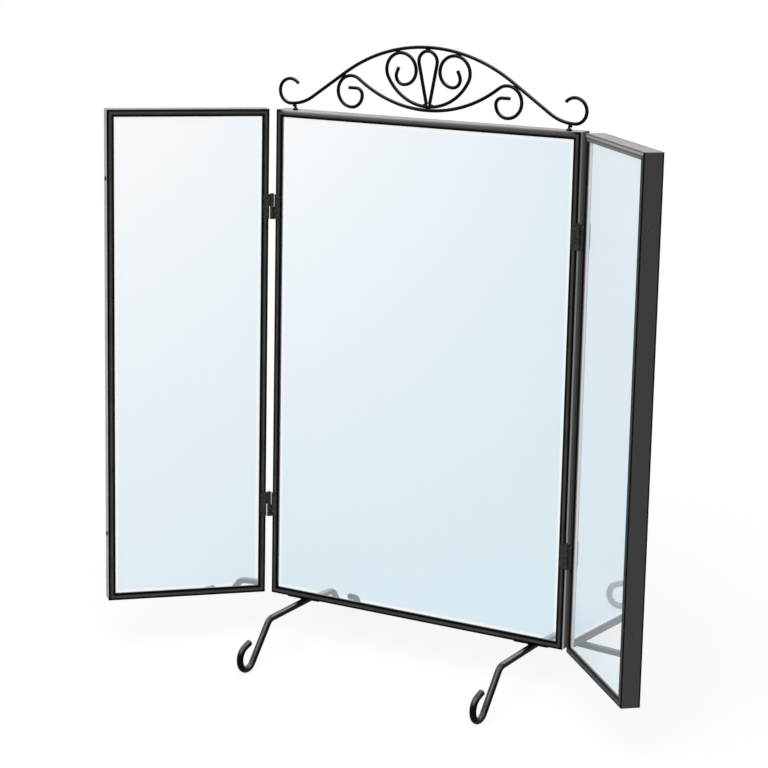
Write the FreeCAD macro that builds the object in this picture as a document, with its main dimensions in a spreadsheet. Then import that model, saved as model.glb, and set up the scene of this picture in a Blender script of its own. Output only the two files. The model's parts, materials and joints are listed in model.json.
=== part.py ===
import FreeCAD, Part
import math
import os

import Sketcher
from FreeCAD import Placement, Rotation, Vector

# Driving dimensions, in millimetres and degrees
SIZES = {
    # Stance: the panels lean back, and both wings stand swung forward
    "lean_angle": 2.2,
    "wing_angle": 46,
    # Panels: a folded steel frame with a narrow hemmed lip in front
    "centre_width": 400,
    "wing_width": 193.5,
    "panel_height": 594,
    "frame_depth": 22,
    "frame_wall": 1,
    "frame_gap": 7,
    "lip_width": 8.5,
    "lip_thickness": 2.3,
    "hem_radius": 0.8,
    "glass_thickness": 3,
    "glass_clearance": 0.6,
    "glass_arris": 0.4,
    "board_thickness": 2.5,
    "board_clearance": 1,
    "board_corner": 6,
    # Clips that press board and glass against the lip
    "clip_thickness": 1.2,
    "clip_height": 9,
    "clip_foot": 10,
    "clip_width": 14,
    "wing_clip_inset": 81.5,
    "centre_clip_inset": 114,
    "clip_screw_radius": 1.5,
    "clip_screw_end": 2,
    "clip_head_radius": 2.6,
    "clip_head_height": 1.3,
    "hole_clearance": 0.15,
    "cut_overrun": 1,
    # Flag hinges between the centre frame and the wings
    "lower_hinge_inset": 112.3,
    "upper_hinge_inset": 115.6,
    "knuckle_radius": 2.4,
    "knuckle_sink": 0.4,
    "fixed_knuckle": 14.6,
    "wing_knuckle": 15,
    "knuckle_gap": 0.3,
    "leaf_thickness": 1.5,
    "leaf_width": 6.9,
    "leaf_notch": 0.6,
    "leaf_corner": 2.5,
    "pin_radius": 1.4,
    "pin_clearance": 0.05,
    "pin_head_radius": 2.3,
    "pin_head_height": 0.8,
    # Legs of bent rod, the same curl at the front and at the back, set in from the ends of the centre frame
    "leg_inset": 43,
    "leg_rod_radius": 4,
    "run_height": 51.8,
    "foot_reach": 117.4,
    "leg_middle": 20,
    "bend_radius": 13,
    "slope_angle": 48.8,
    "curl_radius": 14.5,
    "curl_turn": 212,
    "curl_tip": 10,
    "plate_width": 46,
    "plate_depth": 15,
    "plate_thickness": 2.5,
    "plate_corner": 3,
    "weld_depth": 0.8,
    "leg_screw_spacing": 30,
    "leg_screw_radius": 2,
    "leg_screw_end": 1,
    "leg_head_radius": 3.5,
    "leg_head_height": 2.2,
    "leg_nut_radius": 4.04,
    "leg_nut_height": 3.2,
    # Finial of bent rods standing on the centre frame, its arch set in from the frame's ends
    "finial_rod_radius": 2,
    "weld_gap": 0.15,
    "arch_inset": 13,
    "arch_rise": 82.1,
    "arch_foot": 7.5,
    "end_scroll_radius": 14.5,
    "end_scroll_turn": 230,
    "crest_radius": 18.2,
    "crest_offset": 6.7,
    "crest_tip": 10,
    "sag_height": 10.4,
    "heart_lobe_radius": 19.5,
    "heart_gap": 1.2,
    "heart_end_turn": 113,
    "heart_tip": 6.5,
    "teardrop_radius": 12,
    "post_offset": 6.7,
    "post_base_radius": 3.2,
    "post_base_height": 1.2,
    "post_waist_radius": 1.5,
    "post_stud_radius": 1.5,
    "post_stud_end": 1,
    "post_nut_radius": 3.18,
    "post_nut_height": 2.4,
}

# Shape of the arch: steepest slope over the slope of its chord, and the crown's part of its two radii
ARCH_SLOPE_SHARE = 1.566
ARCH_CROWN_SHARE = 0.781
# Radii inside each spiral, as shares of its outer radius
CREST_SHARES = (0.8, 0.43)
HEART_SHARES = (0.85, 0.5)
# Domed heads: height of the rim and radius of the flat top as shares of the head
HEAD_RIM_SHARE = 0.55
HEAD_TOP_SHARE = 0.6
# How far a rod may stray from the volume of its path, as a share of it
VOLUME_SHARE = 0.01

# Turns, in degrees
HALF = math.degrees(math.pi)
QUARTER = HALF / 2
SIDES = {"left": -1, "right": 1}
LEVELS = {"lower": 0, "upper": 1}
HEX_SIDES = 6
TINY = 1e-6

document = FreeCAD.newDocument("TableMirror")
sheet = document.addObject("Spreadsheet::Sheet", "Sizes")
for row, (alias, value) in enumerate(SIZES.items(), start=1):
    sheet.set(f"A{row}", alias)
    sheet.set(f"B{row}", str(value))
    sheet.setAlias(f"B{row}", alias)
document.recompute()

nodes = {}


def size(alias):
    """A driving dimension, read from the sheet."""
    return float(sheet.get(alias))


def bound(text):
    """An expression over the sheet's aliases, such as 'lip_width / 2', in the form the document binds."""
    words = text.replace("(", " ( ").replace(")", " ) ").split()
    return " ".join(f"Sizes.{word}" if word in SIZES else word for word in words)


def as_node(item, label, placement=None):
    """Names a finished sub-part and puts it in its place."""
    item.Label = label
    if placement is not None:
        item.Placement = placement
    nodes[label] = item
    return item


# Sketch and body helpers


def new_body(name):
    return document.addObject("PartDesign::Body", name)


def new_sketch(body, plane_role, offset="0"):
    """A sketch on one of the body's own origin planes, moved along the plane's normal by an expression."""
    plane = next(item for item in body.Origin.OriginFeatures if item.Role == plane_role)
    sketch = body.newObject("Sketcher::SketchObject", f"{body.Name}_sketch")
    sketch.AttachmentSupport = [(plane, "")]
    sketch.MapMode = "FlatFace"
    sketch.setExpression("AttachmentOffset.Base.z", bound(offset))
    return sketch


def fix_point(sketch, geometry, point, across, up):
    """Ties one sketch point to the sketch origin by two bound distances."""
    for kind, text in (("DistanceX", across), ("DistanceY", up)):
        value = float(sketch.evalExpression(bound(text)))
        index = sketch.addConstraint(Sketcher.Constraint(kind, -1, 1, geometry, point, value))
        sketch.setExpression(f"Constraints[{index}]", bound(text))


def add_outline(sketch, corners):
    """A closed outline of straight lines through corners that are given as pairs of expressions."""
    values = [[float(sketch.evalExpression(bound(text))) for text in corner] for corner in corners]
    points = [Vector(across, up, 0) for across, up in values]
    first = sketch.GeometryCount
    count = len(points)
    for index in range(count):
        sketch.addGeometry(Part.LineSegment(points[index], points[(index + 1) % count]), False)
    for index in range(count):
        following = first + (index + 1) % count
        sketch.addConstraint(Sketcher.Constraint("Coincident", first + index, 2, following, 1))
        fix_point(sketch, first + index, 1, *corners[index])


def add_rectangle(sketch, left, right, bottom, top):
    add_outline(sketch, [(left, bottom), (right, bottom), (right, top), (left, top)])


def add_circle(sketch, across, up, radius):
    """A circle whose centre and radius are bound to expressions."""
    value = float(sketch.evalExpression(bound(radius)))
    index = sketch.addGeometry(Part.Circle(Vector(0, 0, 0), Vector(0, 0, 1), value), False)
    fix_point(sketch, index, 3, across, up)
    rule = sketch.addConstraint(Sketcher.Constraint("Radius", index, value))
    sketch.setExpression(f"Constraints[{rule}]", bound(radius))


def pad(body, sketch, length, reverse=False, both_ways=False):
    feature = body.newObject("PartDesign::Pad", f"{body.Name}_pad")
    feature.Profile = sketch
    feature.setExpression("Length", bound(length))
    feature.Reversed = reverse
    feature.Midplane = both_ways
    document.recompute()
    return feature


def pocket(body, sketch, length, reverse=False):
    """Cuts a sketch into the body, and makes sure that something was cut."""
    before = body.Shape.Volume
    feature = body.newObject("PartDesign::Pocket", f"{body.Name}_pocket")
    feature.Profile = sketch
    feature.setExpression("Length", bound(length))
    feature.Reversed = reverse
    document.recompute()
    if not body.Shape.Volume < before:
        raise RuntimeError(f"{feature.Name} cuts nothing")
    return feature


def revolve(body, corners):
    """Turns an outline in the XZ plane about the body's Z axis."""
    sketch = new_sketch(body, "XZ_Plane")
    add_outline(sketch, corners)
    feature = body.newObject("PartDesign::Revolution", f"{body.Name}_revolution")
    feature.Profile = sketch
    feature.ReferenceAxis = (sketch, ["V_Axis"])
    feature.Angle = 4 * QUARTER
    document.recompute()
    return feature


def dress(body, kind, wanted, property_name, amount):
    """Rounds or bevels the edges of the body's tip that the test picks out."""
    base = body.Tip
    names = [f"Edge{i}" for i, edge in enumerate(base.Shape.Edges, start=1) if wanted(edge.BoundBox)]
    feature = body.newObject(f"PartDesign::{kind}", f"{body.Name}_{kind.lower()}")
    feature.Base = (base, names)
    feature.setExpression(property_name, bound(amount))
    document.recompute()
    return feature


def group(label, master, placements):
    """One node of several separate solids, all alike."""
    copies = []
    for placement in placements:
        copy = master.Shape.copy()
        copy.Placement = placement * copy.Placement
        copies.append(copy)
    feature = document.addObject("Part::Feature", label)
    feature.Shape = Part.makeCompound(copies)
    return as_node(feature, label)


# Places of the panels

LEAN = math.radians(size("lean_angle"))
SWING = math.radians(size("wing_angle"))
WING_REACH = size("frame_gap") / 2 + size("wing_width")
HINGE_SPREAD = (size("centre_width") + size("frame_gap")) / 2
HINGE_PROUD = size("knuckle_radius") - size("knuckle_sink")
LEG_SPREAD = size("centre_width") / 2 - size("leg_inset")
ARCH_SPAN = size("centre_width") / 2 - size("arch_inset")
POST_SPREAD = ARCH_SPAN - size("post_offset")
BOARD_BACK = size("lip_thickness") + size("glass_thickness") + size("board_thickness")
# Nuts inside the frame stand just behind the board
LEG_SCREW_DEPTH = BOARD_BACK + size("leg_nut_radius") + size("hole_clearance")
POST_DEPTH = BOARD_BACK + size("post_nut_radius") + size("hole_clearance")
PLATE_BACK = LEG_SCREW_DEPTH + size("plate_depth") / 2
REAR_FOOT = 2 * size("leg_middle") + size("foot_reach")


def panel_base():
    """The foot of the centre frame's front face, with the origin under the middle of the whole depth."""
    weld_height = size("run_height") + size("leg_rod_radius") - size("weld_depth")
    height = weld_height + PLATE_BACK * math.sin(LEAN) + size("plate_thickness") * math.cos(LEAN)
    swung = WING_REACH * math.sin(SWING) + HINGE_PROUD * (1 - math.cos(SWING))
    front = swung * math.cos(LEAN)
    back = REAR_FOOT + size("curl_radius") + size("leg_rod_radius")
    return Vector(0, (front - back) / 2, height)


PANEL = Placement(panel_base(), Rotation(Vector(1, 0, 0), -size("lean_angle")))


def hinge_place(side, swing=0):
    """On a hinge axis, at the height of the frames' lower edge, turned with what the hinge carries."""
    axis = Vector(side * HINGE_SPREAD, -HINGE_PROUD, 0)
    return PANEL * Placement(axis, Rotation(Vector(0, 0, 1), -side * swing))


def wing_place(side):
    middle = (size("frame_gap") + size("wing_width")) / 2
    foot = Placement(Vector(side * middle, HINGE_PROUD, 0), Rotation())
    return hinge_place(side, size("wing_angle")) * foot


# Panels: frame, glass and backing board, seen from the foot of the front face


def inset_rectangle(sketch, width, inset):
    """A rectangle that keeps the same distance from all four outer sides of a panel."""
    across = f"{width} / 2 - ( {inset} )"
    add_rectangle(sketch, f"- ( {across} )", across, inset, f"panel_height - ( {inset} )")


def wall_holes(body, width, clip_inset, side):
    """Holes for the clip screws in one side wall."""
    sketch = new_sketch(body, "YZ_Plane", f"{side} * {width} / 2")
    for height in (clip_inset, f"panel_height - {clip_inset}"):
        add_circle(sketch, f"{BOARD_BACK} + clip_height / 2", height, "clip_screw_radius + hole_clearance")
    pocket(body, sketch, "frame_wall + cut_overrun", reverse=side < 0)


def floor_holes(body, level, places, depth, radius):
    """Holes in the bottom wall, or in the top wall where level is 1."""
    sketch = new_sketch(body, "XY_Plane", f"{level} * panel_height")
    for place in places:
        add_circle(sketch, place, depth, radius)
    pocket(body, sketch, "frame_wall + cut_overrun", reverse=level == 0)


def panel_frame(name, width, clip_inset):
    """A shallow steel tray, open at the back, with a window in front."""
    body = new_body(name)
    outside = new_sketch(body, "XZ_Plane")
    inset_rectangle(outside, width, "0")
    pad(body, outside, "frame_depth", reverse=True)
    tray = new_sketch(body, "XZ_Plane", "- lip_thickness")
    inset_rectangle(tray, width, "frame_wall")
    pocket(body, tray, "frame_depth")
    window = new_sketch(body, "XZ_Plane")
    inset_rectangle(window, width, "lip_width")
    pocket(body, window, "frame_depth")
    dress(body, "Fillet", lambda box: box.YMax < TINY, "Radius", "hem_radius")
    for side in SIDES.values():
        wall_holes(body, width, clip_inset, side)
    return body


def panel_glass(name, width):
    """Mirror glass with bevelled arrises, lying against the back of the lip."""
    body = new_body(name)
    sketch = new_sketch(body, "XZ_Plane", "- lip_thickness")
    inset_rectangle(sketch, width, "frame_wall + glass_clearance")
    pad(body, sketch, "glass_thickness", reverse=True)
    dress(body, "Chamfer", lambda box: box.YLength < TINY, "Size", "glass_arris")
    return body


def panel_board(name, width):
    """Backing board with rounded corners, lying against the back of the glass."""
    body = new_body(name)
    sketch = new_sketch(body, "XZ_Plane", "- ( lip_thickness + glass_thickness )")
    inset_rectangle(sketch, width, "frame_wall + board_clearance")
    pad(body, sketch, "board_thickness", reverse=True)
    dress(body, "Fillet", lambda box: box.YLength > TINY, "Radius", "board_corner")
    return body


# Clips and their screws


def clip_heights(clip_inset):
    """Heights of the lower and the upper clips of a panel."""
    return size(clip_inset), size("panel_height") - size(clip_inset)


def clip_master():
    """An L of sheet steel: its upright lies on a right-hand wall, its foot on the board."""
    body = new_body("clip")
    sketch = new_sketch(body, "XY_Plane")
    corners = [("0", "0"), ("0", "clip_height"), ("- clip_thickness", "clip_height")]
    corners += [("- clip_thickness", "clip_thickness")]
    corners += [("- clip_foot", "clip_thickness"), ("- clip_foot", "0")]
    add_outline(sketch, corners)
    pad(body, sketch, "clip_width", both_ways=True)
    hole = new_sketch(body, "YZ_Plane")
    add_circle(hole, "clip_height / 2", "0", "clip_screw_radius + pin_clearance")
    pocket(body, hole, "clip_thickness + cut_overrun")
    return body


def domed_head(radius, height, start):
    """Outline of a domed head from its rim to the axis, standing on a height along the axis."""
    rim = f"{start} + {height} * {HEAD_RIM_SHARE}"
    top = f"{start} + {height}"
    return [(radius, start), (radius, rim), (f"{radius} * {HEAD_TOP_SHARE}", top), ("0", top)]


def screw_master(name, radius, length, head_radius, head_height):
    """A screw whose head seats at zero height, with its shank pointing down."""
    body = new_body(name)
    shank = [("0", f"- ( {length} )"), (radius, f"- ( {length} )"), (radius, "0")]
    revolve(body, shank + domed_head(head_radius, head_height, "0"))
    return body


def nut_master(name, radius, height, hole):
    """A hexagon nut standing on zero height."""
    prism = document.addObject("Part::Prism", f"{name}_prism")
    prism.Polygon = HEX_SIDES
    prism.setExpression("Circumradius", bound(radius))
    prism.setExpression("Height", bound(height))
    bore = document.addObject("Part::Cylinder", f"{name}_bore")
    bore.setExpression("Radius", bound(f"{hole} + pin_clearance"))
    bore.setExpression("Height", bound(height))
    nut = document.addObject("Part::Cut", name)
    nut.Base = prism
    nut.Tool = bore
    document.recompute()
    return nut


def clip_places(width, clip_inset, panel):
    """Where clips seat in a panel: two on each side wall, against wall and board."""
    places = []
    for side, turn in ((1, 0), (-1, HALF)):
        wall = side * (size(width) / 2 - size("frame_wall"))
        for height in clip_heights(clip_inset):
            seat = Placement(Vector(wall, BOARD_BACK, height), Rotation(Vector(0, 1, 0), turn))
            places.append(panel * seat)
    return places


def clip_screw_places(width, clip_inset, panel):
    """Where the clip screws' heads seat, on the outside of the side walls."""
    places = []
    depth = BOARD_BACK + size("clip_height") / 2
    for side in SIDES.values():
        for height in clip_heights(clip_inset):
            seat = Vector(side * size(width) / 2, depth, height)
            places.append(panel * Placement(seat, Rotation(Vector(0, 1, 0), side * QUARTER)))
    return places


# Flag hinges


WING_KNUCKLE_BOTTOM = "fixed_knuckle + knuckle_gap"
LEAF_HEIGHT = f"{WING_KNUCKLE_BOTTOM} + wing_knuckle"


def hinge_bottom(level):
    """Height of the lower end of a hinge above the frames' lower edge."""
    whole = size("fixed_knuckle") + size("knuckle_gap") + size("wing_knuckle")
    upper = size("panel_height") - size("upper_hinge_inset")
    middle = upper if level else size("lower_hinge_inset")
    return middle - whole / 2


def leaf_plate(body, direction):
    """The flat plate of a leaf, as high as the hinge, with two rounded corners away from the pin."""
    sketch = new_sketch(body, "XY_Plane")
    proud = "knuckle_radius - knuckle_sink"
    near = f"{direction} * ( knuckle_radius + leaf_notch )"
    far = f"{direction} * ( frame_gap / 2 + leaf_width )"
    add_rectangle(sketch, near, far, f"{proud} - leaf_thickness", proud)
    pad(body, sketch, LEAF_HEIGHT)
    end = direction * (size("frame_gap") / 2 + size("leaf_width"))

    def at_corner(box):
        return abs(box.XMin - end) < TINY and box.XLength < TINY and box.ZLength < TINY

    dress(body, "Fillet", at_corner, "Radius", "leaf_corner")


def hinge_leaf(name, direction, knuckle_bottom, knuckle):
    """A plate on one side of the pin's axis, with a knuckle rolled round the pin on part of its height."""
    body = new_body(name)
    leaf_plate(body, direction)
    sketch = new_sketch(body, "XY_Plane", knuckle_bottom)
    radius = size("knuckle_radius")
    front = HINGE_PROUD - size("leaf_thickness")
    end = direction * (radius + 2 * size("leaf_notch"))
    root = Vector(direction * math.sqrt(radius**2 - HINGE_PROUD**2), HINGE_PROUD, 0)
    toe = Vector(direction * math.sqrt(radius**2 - front**2), front, 0)
    heel = Vector(end, HINGE_PROUD, 0)
    edge = Vector(end, front, 0)
    plate = [Part.LineSegment(root, heel), Part.LineSegment(heel, edge), Part.LineSegment(edge, toe)]
    for item in (*plate, Part.Arc(toe, Vector(-direction * radius, 0, 0), root)):
        sketch.addGeometry(item, False)
    back_line, end_line, front_line, roll = range(sketch.GeometryCount)
    roll_toe, roll_root = (1, 2) if (sketch.getPoint(roll, 1) - toe).Length < TINY else (2, 1)
    sketch.addConstraint(Sketcher.Constraint("Coincident", roll, 3, -1, 1))
    sketch.addConstraint(Sketcher.Constraint("Coincident", back_line, 2, end_line, 1))
    sketch.addConstraint(Sketcher.Constraint("Coincident", end_line, 2, front_line, 1))
    sketch.addConstraint(Sketcher.Constraint("Coincident", front_line, 2, roll, roll_toe))
    sketch.addConstraint(Sketcher.Constraint("Coincident", back_line, 1, roll, roll_root))
    sketch.addConstraint(Sketcher.Constraint("Horizontal", back_line))
    sketch.addConstraint(Sketcher.Constraint("Horizontal", front_line))
    rule = sketch.addConstraint(Sketcher.Constraint("Radius", roll, radius))
    sketch.setExpression(f"Constraints[{rule}]", bound("knuckle_radius"))
    reach = f"{direction} * ( knuckle_radius + 2 * leaf_notch )"
    proud = "knuckle_radius - knuckle_sink"
    fix_point(sketch, end_line, 1, reach, proud)
    fix_point(sketch, end_line, 2, reach, f"{proud} - leaf_thickness")
    add_circle(sketch, "0", "0", "pin_radius + pin_clearance")
    pad(body, sketch, knuckle)
    return body


def hinge_pin(name):
    """A pin with a domed head, standing on the lower end of its hinge."""
    body = new_body(name)
    shank_top = f"{LEAF_HEIGHT} + knuckle_gap"
    shank = [("0", "0"), ("pin_radius", "0"), ("pin_radius", shank_top)]
    revolve(body, shank + domed_head("pin_head_radius", "pin_head_height", shank_top))
    return body


# Bent rods


def outward(heading):
    """The direction to the right of a heading in degrees, in the plane of the bends."""
    angle = math.radians(heading)
    return Vector(math.sin(angle), 0, -math.cos(angle))


def bent_path(start, heading, runs):
    """A flat path of straight runs and tangent arcs. A run is a length, or a radius with a turn."""
    edges = []
    point = Vector(start[0], 0, start[1])
    for length, turn in runs:
        if turn == 0:
            angle = math.radians(heading)
            end = point + Vector(math.cos(angle), 0, math.sin(angle)) * length
            edges.append(Part.LineSegment(point, end).toShape())
        else:
            bend = math.copysign(length, turn)
            centre = point - outward(heading) * bend
            end = centre + outward(heading + turn) * bend
            middle = centre + outward(heading + turn / 2) * bend
            edges.append(Part.Arc(point, middle, end).toShape())
        heading += turn
        point = end
    return Part.Wire(edges)


def bent_rod(name, path, radius):
    """A round rod along a path, swept from a bound circle that stands square to the path's start."""
    route = document.addObject("Part::Feature", f"{name}_path")
    route.Shape = path
    section = document.addObject("Part::Circle", f"{name}_section")
    section.setExpression("Radius", bound(radius))
    first = path.Edges[0]
    start = first.valueAt(first.FirstParameter)
    section.Placement = Placement(start, Rotation(Vector(0, 0, 1), first.tangentAt(first.FirstParameter)))
    rod = document.addObject("Part::Sweep", name)
    rod.Sections = [section]
    rod.Spine = (route, [f"Edge{i}" for i in range(1, len(path.Edges) + 1)])
    rod.Solid = True
    document.recompute()
    expected = path.Length * math.pi * size(radius) ** 2
    if abs(rod.Shape.Volume - expected) > expected * VOLUME_SHARE:
        raise RuntimeError(f"{name} does not follow its path")
    return rod


def symmetrical_path(middle, half):
    """A path with mirrored halves, given by the runs from its level middle to the tip on the right."""
    tip = bent_path(middle, 0, half).Edges[-1]
    end = tip.valueAt(tip.LastParameter)
    heading = sum(turn for length, turn in half)
    return bent_path((-end.x, end.z), -heading, [*reversed(half), *half])


# Legs


def leg_path():
    """From the tip of the rear curl, over the level run, to the tip of the front curl."""
    slope = math.radians(size("slope_angle"))
    bend = size("bend_radius")
    curl = size("curl_radius")
    curl_height = size("leg_rod_radius") + curl
    landing = size("foot_reach") + size("leg_middle") - curl * math.sin(slope)
    fall = size("run_height") - curl_height + curl * math.cos(slope)
    slope_length = (fall - bend * (1 - math.cos(slope))) / math.sin(slope)
    run = landing - bend * math.sin(slope) - slope_length * math.cos(slope)
    half = [(run, 0), (bend, -size("slope_angle")), (slope_length, 0)]
    half += [(curl, size("curl_turn")), (size("curl_tip"), 0)]
    return symmetrical_path((0, size("run_height")), half)


def leg_plate(name):
    """The small plate that is welded on the rod and screwed to the frame's bottom wall."""
    body = new_body(name)
    sketch = new_sketch(body, "XY_Plane")
    front = f"{PLATE_BACK} - plate_depth"
    add_rectangle(sketch, "- plate_width / 2", "plate_width / 2", front, f"{PLATE_BACK}")
    for side in SIDES.values():
        place = f"{side} * leg_screw_spacing / 2"
        add_circle(sketch, place, f"{LEG_SCREW_DEPTH}", "leg_screw_radius + hole_clearance")
    pad(body, sketch, "plate_thickness", reverse=True)

    def at_corner(box):
        return box.ZLength > TINY and box.XLength < TINY and box.YLength < TINY

    dress(body, "Fillet", at_corner, "Radius", "plate_corner")
    return body


def leg(side_name, side):
    """Rod and plate welded into one piece."""
    foot = Placement(Vector(side * LEG_SPREAD, PANEL.Base.y + size("leg_middle"), 0), Rotation())
    rod = bent_rod(f"{side_name}_leg_rod", leg_path(), "leg_rod_radius")
    rod.Placement = foot * Placement(Vector(), Rotation(Vector(0, 0, 1), -QUARTER))
    plate = leg_plate(f"{side_name}_leg_plate")
    plate.Placement = PANEL * Placement(Vector(side * LEG_SPREAD, 0, 0), Rotation())
    welded = document.addObject("Part::Fuse", f"{side_name}_leg_weld")
    welded.Base = rod
    welded.Tool = plate
    document.recompute()
    return as_node(welded, f"{side_name}_leg")


def leg_screw_seats(height):
    """Places on the axes of the leg screws, at a height above the frame's lower edge."""
    places = []
    for leg_side in SIDES.values():
        for side in SIDES.values():
            across = leg_side * LEG_SPREAD + side * size("leg_screw_spacing") / 2
            places.append(PANEL * Placement(Vector(across, LEG_SCREW_DEPTH, height), Rotation()))
    return places


# Finial


FRAME_TOP = PANEL * Placement(Vector(0, POST_DEPTH, size("panel_height")), Rotation())
ARCH_FEET = Vector(0, 0, size("arch_foot"))
# The rods stand upright on the leaning frame, turned about the feet of the arch
FINIAL = FRAME_TOP * Placement(Vector(), Rotation(Vector(1, 0, 0), size("lean_angle")), ARCH_FEET)
CONTACT = 2 * size("finial_rod_radius") + size("weld_gap")


def finial_rod(label, path):
    return as_node(bent_rod(label, path, "finial_rod_radius"), label, FINIAL)


class Arch:
    """Measures of the arch rod: a crown, a straight flank and a reversed foot, all tangent."""

    span = ARCH_SPAN
    rise = size("arch_rise") - size("arch_foot")
    slope = ARCH_SLOPE_SHARE * math.atan2(rise, span)
    radii = (span * math.sin(slope) - rise * math.cos(slope)) / (1 - math.cos(slope))
    flank = (rise * math.sin(slope) - span * (1 - math.cos(slope))) / (1 - math.cos(slope))
    crown = ARCH_CROWN_SHARE * radii
    foot = radii - crown
    centre = Vector(0, 0, size("arch_rise") - crown)
    shoulder = centre + Vector(math.sin(slope), 0, math.cos(slope)) * crown


def arch_rod():
    """One rod that rises from a scroll at one end, over the crown, to a scroll at the other."""
    slope = math.degrees(Arch.slope)
    half = [(Arch.crown, -slope), (Arch.flank, 0), (Arch.foot, slope)]
    half.append((size("end_scroll_radius"), size("end_scroll_turn")))
    return finial_rod("finial_arch", symmetrical_path((0, size("arch_rise")), half))


def lower_scroll_rod():
    """The sagging rod whose spiral ends are welded under the flanks of the arch."""
    crest = size("crest_radius")
    along = Vector(math.cos(Arch.slope), 0, -math.sin(Arch.slope))
    below = Vector(-math.sin(Arch.slope), 0, -math.cos(Arch.slope))
    centre = Arch.shoulder + along * size("crest_offset") + below * (crest + CONTACT)
    spread = centre.x
    climb = centre.z - size("sag_height")
    radius = (climb**2 + spread**2 - crest**2) / (2 * (climb + crest))
    slope = math.degrees(math.atan2(spread, radius - climb))
    half = [(radius, slope), (crest, -slope - HALF)]
    half += [(crest * share, -QUARTER) for share in CREST_SHARES]
    half.append((size("crest_tip"), 0))
    return finial_rod("finial_lower_scroll", symmetrical_path((0, size("sag_height")), half))


HEART_BOTTOM = size("sag_height") + CONTACT


class Teardrop:
    """Measures of the loop: a round top under the crown and two straight sides that meet below."""

    radius = size("teardrop_radius")
    centre = size("arch_rise") - CONTACT - radius
    foot = CONTACT / 2
    seat = HEART_BOTTOM + size("finial_rod_radius") + size("weld_gap")
    bottom = seat + size("finial_rod_radius") * radius / (centre - seat)
    reach = math.hypot(foot, centre - bottom)
    side = math.sqrt(reach**2 - radius**2)
    lean = math.asin(radius / reach) - math.atan2(foot, centre - bottom)


def teardrop_rod():
    """A hairpin of rod: up one side, round the top and down the other side."""
    lean = math.degrees(Teardrop.lean)
    runs = [(Teardrop.side, 0), (Teardrop.radius, -HALF - 2 * lean), (Teardrop.side, 0)]
    return finial_rod("finial_teardrop", bent_path((-Teardrop.foot, Teardrop.bottom), QUARTER + lean, runs))


def heart_lobe():
    """Centre of a heart's lobe, which lies beside the teardrop and touches the crown from inside."""
    lobe = size("heart_lobe_radius")
    along = Vector(math.sin(Teardrop.lean), 0, math.cos(Teardrop.lean))
    away = Vector(math.cos(Teardrop.lean), 0, -math.sin(Teardrop.lean))
    offset = lobe + 2 * size("finial_rod_radius") + size("heart_gap")
    line = Vector(Teardrop.foot, 0, Teardrop.bottom) + away * offset - Arch.centre
    room = Arch.crown - CONTACT - lobe
    half = line.dot(along)
    travel = -half + math.sqrt(half**2 - line.dot(line) + room**2)
    return Arch.centre + line + along * travel


def heart_rod(side_name, side):
    """From the middle of the lower scroll out and up, round the lobe and into a spiral."""
    lobe = size("heart_lobe_radius")
    centre = heart_lobe()
    climb = centre.z - HEART_BOTTOM
    sweep = (centre.x**2 + climb**2 - lobe**2) / (2 * (climb - lobe))
    join = math.degrees(math.atan2(climb - sweep, centre.x)) + QUARTER
    begin = math.degrees(math.asin(size("weld_gap") / sweep))
    start = (size("weld_gap"), HEART_BOTTOM + sweep * (1 - math.cos(math.radians(begin))))
    runs = [(sweep, join - begin), (lobe, 3 * QUARTER - join)]
    runs += [(lobe * HEART_SHARES[0], QUARTER), (lobe * HEART_SHARES[1], size("heart_end_turn"))]
    runs.append((size("heart_tip"), 0))
    if side < 0:
        start = (-start[0], start[1])
        begin = HALF - begin
        runs = [(length, -turn) for length, turn in runs]
    return finial_rod(f"finial_{side_name}_heart", bent_path(start, begin, runs))


def post_height():
    """Room under the arch rod, which rises a little from its lowest point to the posts."""
    aside = size("post_offset") / Arch.foot
    level = math.sqrt(1 - aside**2)
    return size("arch_foot") + Arch.foot * (1 - level) - size("finial_rod_radius") / level - size("weld_gap")


def finial_post(side_name, side):
    """A flared foot with a waist under the arch, and a stud through the frame's top wall."""
    label = f"finial_{side_name}_post"
    body = new_body(label)
    stud = "- ( frame_wall + post_nut_height + post_stud_end )"
    top = f"{post_height()}"
    corners = [("0", stud), ("post_stud_radius", stud), ("post_stud_radius", "0"), ("post_base_radius", "0")]
    corners += [("post_base_radius", "post_base_height"), ("post_waist_radius", f"{top} / 2")]
    corners += [("post_waist_radius", top), ("0", top)]
    revolve(body, corners)
    return as_node(body, label, FRAME_TOP * Placement(Vector(side * POST_SPREAD, 0, 0), Rotation()))


# Assembly


def build_panel(prefix, width, clip_inset, panel):
    """Frame, glass, board, clips and clip screws of one panel."""
    frame = as_node(panel_frame(f"{prefix}_frame", width, clip_inset), f"{prefix}_frame", panel)
    as_node(panel_glass(f"{prefix}_glass", width), f"{prefix}_glass", panel)
    as_node(panel_board(f"{prefix}_back_board", width), f"{prefix}_back_board", panel)
    group(f"{prefix}_back_clips", clip, clip_places(width, clip_inset, panel))
    group(f"{prefix}_clip_screws", clip_screw, clip_screw_places(width, clip_inset, panel))
    return frame


def build_hinge(side_name, side, level_name, level):
    """The fixed leaf, the wing's leaf and the pin of one hinge."""
    prefix = f"{side_name}_{level_name}"
    base = Placement(Vector(0, 0, hinge_bottom(level)), Rotation())
    fixed = hinge_leaf(f"{prefix}_fixed_leaf", -side, "0", "fixed_knuckle")
    as_node(fixed, f"{prefix}_fixed_leaf", hinge_place(side) * base)
    moving = hinge_leaf(f"{prefix}_wing_leaf", side, WING_KNUCKLE_BOTTOM, "wing_knuckle")
    as_node(moving, f"{prefix}_wing_leaf", hinge_place(side, size("wing_angle")) * base)
    as_node(hinge_pin(f"{prefix}_hinge_pin"), f"{prefix}_hinge_pin", hinge_place(side) * base)


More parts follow.
